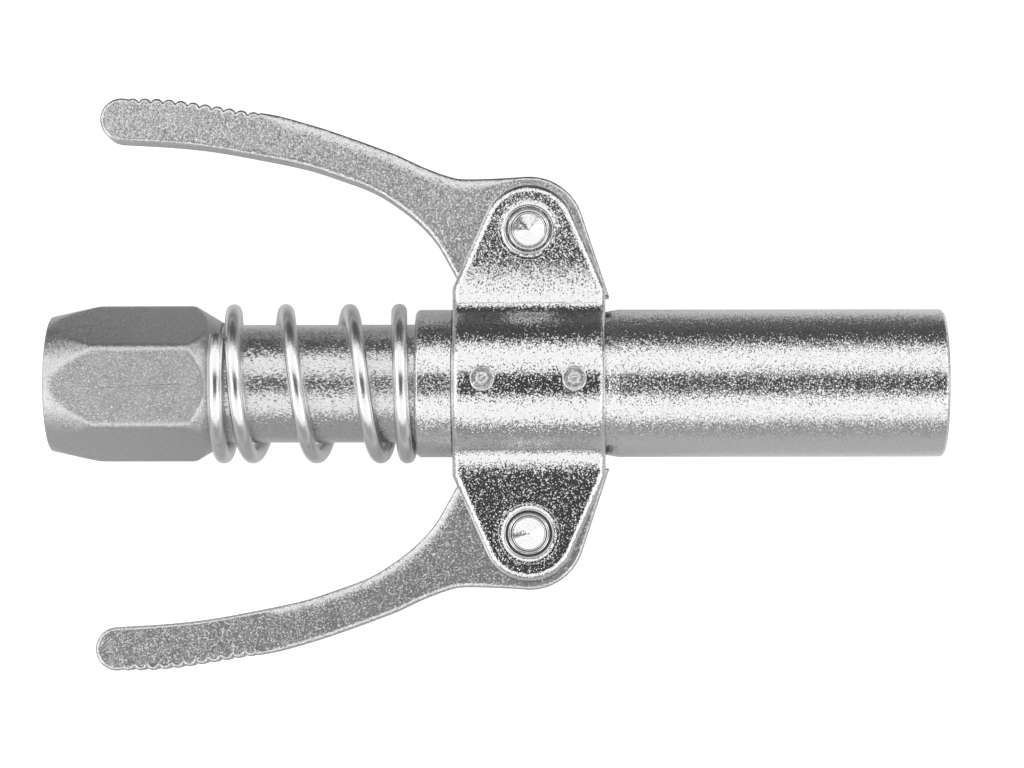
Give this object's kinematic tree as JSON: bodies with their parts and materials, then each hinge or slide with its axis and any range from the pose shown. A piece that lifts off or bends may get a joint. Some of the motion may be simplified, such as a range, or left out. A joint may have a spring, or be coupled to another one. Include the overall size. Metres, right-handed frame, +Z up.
{
  "type": "lock-on grease coupler",
  "caption": "Lock-on grease gun coupler: hexagon hose nut, return spring and a sliding sleeve with squeeze levers that opens gripping jaws.",
  "frame": {"origin": "centre of the hose hole's mouth in the inlet face, on the coupler's axis", "axes": "+X along the coupler to its mouth, +Y towards the upper lever, +Z up out of the plane of the levers"},
  "size_m": [0.1152, 0.074, 0.021],
  "materials": {
    "machined_steel": "satin, fine machining marks",
    "copper_washer": "soft annealed copper",
    "drawn_steel": "bright drawn, fine grain",
    "spring_wire": "bright plated wire",
    "zinc_sleeve": "bright zinc plate over a turned tube",
    "zinc_sheet": "bright zinc plate over stamped sheet",
    "turned_pin": "turned, bright",
    "stamped_steel": "satin zinc plate, tumbled edges",
    "hardened_steel": "hardened, dark satin",
    "carrier_brass": "turned brass",
    "seal_rubber": "moulded nitrile rubber"
  },
  "bodies": {
    "body": {"inlet_nut": "machined_steel", "nut_washer": "copper_washer", "body_tube": "drawn_steel", "return_spring": "spring_wire", "jaw_ring": "spring_wire", "carrier_spring": "spring_wire", "check_spring": "spring_wire", "valve_retainer": "machined_steel"},
    "sleeve": {"outer_sleeve": "zinc_sleeve", "clamp_front": "zinc_sheet", "clamp_back": "zinc_sheet", "pivot_pin_upper": "turned_pin", "pivot_pin_lower": "turned_pin"},
    "lever_upper": {"lever_upper": "stamped_steel"},
    "lever_lower": {"lever_lower": "stamped_steel"},
    "jaw_1": {"jaw_1": "hardened_steel"},
    "jaw_2": {"jaw_2": "hardened_steel"},
    "jaw_3": {"jaw_3": "hardened_steel"},
    "jaw_4": {"jaw_4": "hardened_steel"},
    "carrier": {"seal_carrier": "carrier_brass", "nose_seal": "seal_rubber", "carrier_o_ring": "seal_rubber"},
    "ball": {"check_ball": "turned_pin"}
  },
  "joints": [
    {"name": "sleeve_slide", "type": "slide", "parent": "body", "child": "sleeve", "axis": [-1, 0, 0], "range_m": [0, 0.00438], "stiffness_N_per_m": 7200, "springref_m": -0.004, "deforming": ["return_spring"]},
    {"name": "lever_upper_pivot", "type": "hinge", "parent": "sleeve", "child": "lever_upper", "pos_m": [0.06185, 0.0195, 0], "axis": [0, 0, 1], "range_deg": [0, 20.1]},
    {"name": "lever_lower_pivot", "type": "hinge", "parent": "sleeve", "child": "lever_lower", "pos_m": [0.06185, -0.0195, 0], "axis": [0, 0, -1], "range_deg": [0, 20.1]},
    {"name": "jaw_1_hinge", "type": "hinge", "parent": "body", "child": "jaw_1", "pos_m": [0.097, 0.0047, 0], "axis": [0, 0, 1], "range_deg": [0, 2.85]},
    {"name": "jaw_2_hinge", "type": "hinge", "parent": "body", "child": "jaw_2", "pos_m": [0.097, 0, 0.0047], "axis": [0, -1, 0], "range_deg": [0, 2.85]},
    {"name": "jaw_3_hinge", "type": "hinge", "parent": "body", "child": "jaw_3", "pos_m": [0.097, -0.0047, 0], "axis": [0, 0, -1], "range_deg": [0, 2.85]},
    {"name": "jaw_4_hinge", "type": "hinge", "parent": "body", "child": "jaw_4", "pos_m": [0.097, 0, -0.0047], "axis": [0, 1, 0], "range_deg": [0, 2.85]},
    {"name": "carrier_slide", "type": "slide", "parent": "body", "child": "carrier", "axis": [-1, 0, 0], "range_m": [0, 0.0012], "stiffness_N_per_m": 1500, "springref_m": -0.001, "deforming": ["carrier_spring"]},
    {"name": "ball_slide", "type": "slide", "parent": "body", "child": "ball", "axis": [1, 0, 0], "range_m": [0, 0.0012], "stiffness_N_per_m": 300, "springref_m": -0.001, "deforming": ["check_spring"]}
  ],
  "couplings": [
    {"joint": "lever_upper_pivot", "follows": "sleeve_slide", "rad_per_m": 79.77},
    {"joint": "lever_lower_pivot", "follows": "sleeve_slide", "rad_per_m": 79.77},
    {"joint": "jaw_1_hinge", "follows": "sleeve_slide", "rad_per_m": 11.16},
    {"joint": "jaw_2_hinge", "follows": "sleeve_slide", "rad_per_m": 11.16},
    {"joint": "jaw_3_hinge", "follows": "sleeve_slide", "rad_per_m": 11.16},
    {"joint": "jaw_4_hinge", "follows": "sleeve_slide", "rad_per_m": 11.16}
  ]
}
